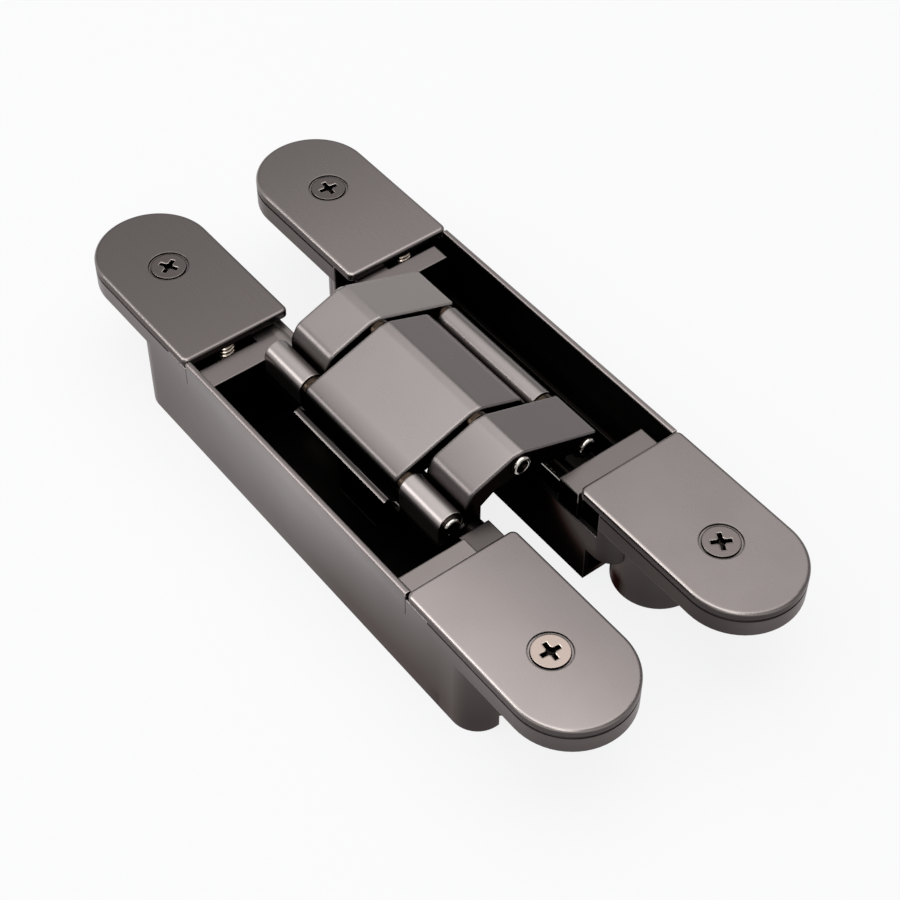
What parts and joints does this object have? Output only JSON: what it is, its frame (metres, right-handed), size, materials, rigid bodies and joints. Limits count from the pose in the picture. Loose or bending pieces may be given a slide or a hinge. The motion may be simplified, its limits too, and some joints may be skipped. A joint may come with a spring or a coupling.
{
  "type": "concealed door hinge",
  "caption": "Concealed scissor-link door hinge laid open flat, with two slim recessed housings, covers and interleaved bent arms on pins.",
  "frame": {"origin": "midway between the two housings on the plane of their bottoms, hinge fully open", "axes": "+X from the left housing to the right one, +Y along the housings, +Z out of the door edge, towards the covers"},
  "size_m": [0.0656, 0.16, 0.0319],
  "materials": {
    "housing": "satin gun-metal die casting",
    "carrier": "satin dark die casting",
    "cover": "brushed satin gun-metal",
    "arm": "brushed satin gun-metal",
    "link": "satin gun-metal",
    "light_screw": "coppery nickel plate",
    "dark_screw": "dark nickel plate",
    "adjuster": "coppery plate",
    "pin": "polished domed ends",
    "washer": "light nickel brass"
  },
  "bodies": {
    "left_side": {"left_housing": "housing", "left_carrier": "carrier", "left_front_cover": "cover", "left_rear_cover": "cover", "left_front_screw": "light_screw", "left_rear_screw": "dark_screw", "left_adjusters": "adjuster", "left_arm_pin": "pin"},
    "outer_arms": {"front_outer_arm": "arm", "rear_outer_arm": "arm", "centre_pin": "pin", "right_link_pin": "pin", "centre_washers": "washer"},
    "middle_arm": {"middle_arm": "arm", "left_link_pin": "pin"},
    "left_link": {"left_link": "link", "left_base_pin": "pin", "left_link_washers": "washer"},
    "right_link": {"right_link": "link", "right_base_pin": "pin", "right_link_washers": "washer"},
    "right_side": {"right_housing": "housing", "right_carrier": "carrier", "right_front_cover": "cover", "right_rear_cover": "cover", "right_front_screw": "dark_screw", "right_rear_screw": "dark_screw", "right_adjusters": "adjuster", "right_arm_pin": "pin"}
  },
  "joints": [
    {"name": "left_arm_pivot", "type": "hinge", "parent": "left_side", "child": "outer_arms", "pos_m": [-0.0116, 0, 0.0183], "axis": [0, -1, 0], "range_deg": [0, 107.98]},
    {"name": "centre_pivot", "type": "hinge", "parent": "outer_arms", "child": "middle_arm", "pos_m": [0, 0, 0.0291], "axis": [0, -1, 0], "range_deg": [-36, 0]},
    {"name": "right_arm_pivot", "type": "hinge", "parent": "middle_arm", "child": "right_side", "pos_m": [0.0116, 0, 0.0183], "axis": [0, -1, 0], "range_deg": [0, 108.1]},
    {"name": "left_link_pivot", "type": "hinge", "parent": "middle_arm", "child": "left_link", "pos_m": [-0.01635, 0, 0.0233], "axis": [0, -1, 0], "range_deg": [0, 28.7]},
    {"name": "right_link_pivot", "type": "hinge", "parent": "outer_arms", "child": "right_link", "pos_m": [0.01635, 0, 0.0233], "axis": [0, -1, 0], "range_deg": [-28.7, 0]}
  ],
  "couplings": [
    {"joint": "centre_pivot", "follows": "left_arm_pivot", "ratio": -0.333},
    {"joint": "right_arm_pivot", "follows": "left_arm_pivot", "ratio": 1},
    {"joint": "left_link_pivot", "follows": "left_arm_pivot", "ratio": 0.265},
    {"joint": "right_link_pivot", "follows": "left_arm_pivot", "ratio": -0.265}
  ]
}
